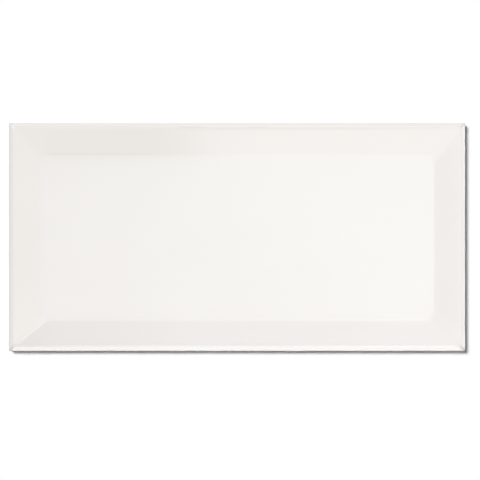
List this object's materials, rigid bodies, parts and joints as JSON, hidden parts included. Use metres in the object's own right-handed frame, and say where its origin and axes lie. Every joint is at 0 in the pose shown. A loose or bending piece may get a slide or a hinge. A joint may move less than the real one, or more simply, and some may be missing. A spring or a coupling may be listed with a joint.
{
  "type": "bevelled wall tile",
  "caption": "Oblong glazed ceramic wall tile with a raised flat face and a mitred bevel all round, for setting in adhesive on a wall.",
  "frame": {"origin": "middle of the back, which is the face that the tile lies on", "axes": "+X along the tile's length, +Y across its width, +Z out of the glazed face"},
  "size_m": [0.2, 0.1, 0.007],
  "materials": {
    "white_glaze": "gloss warm-white glaze on the face, bevels and upper sides, bare matt biscuit below and on the back"
  },
  "bodies": {
    "root": {"wall_tile": "white_glaze"}
  },
  "joints": []
}
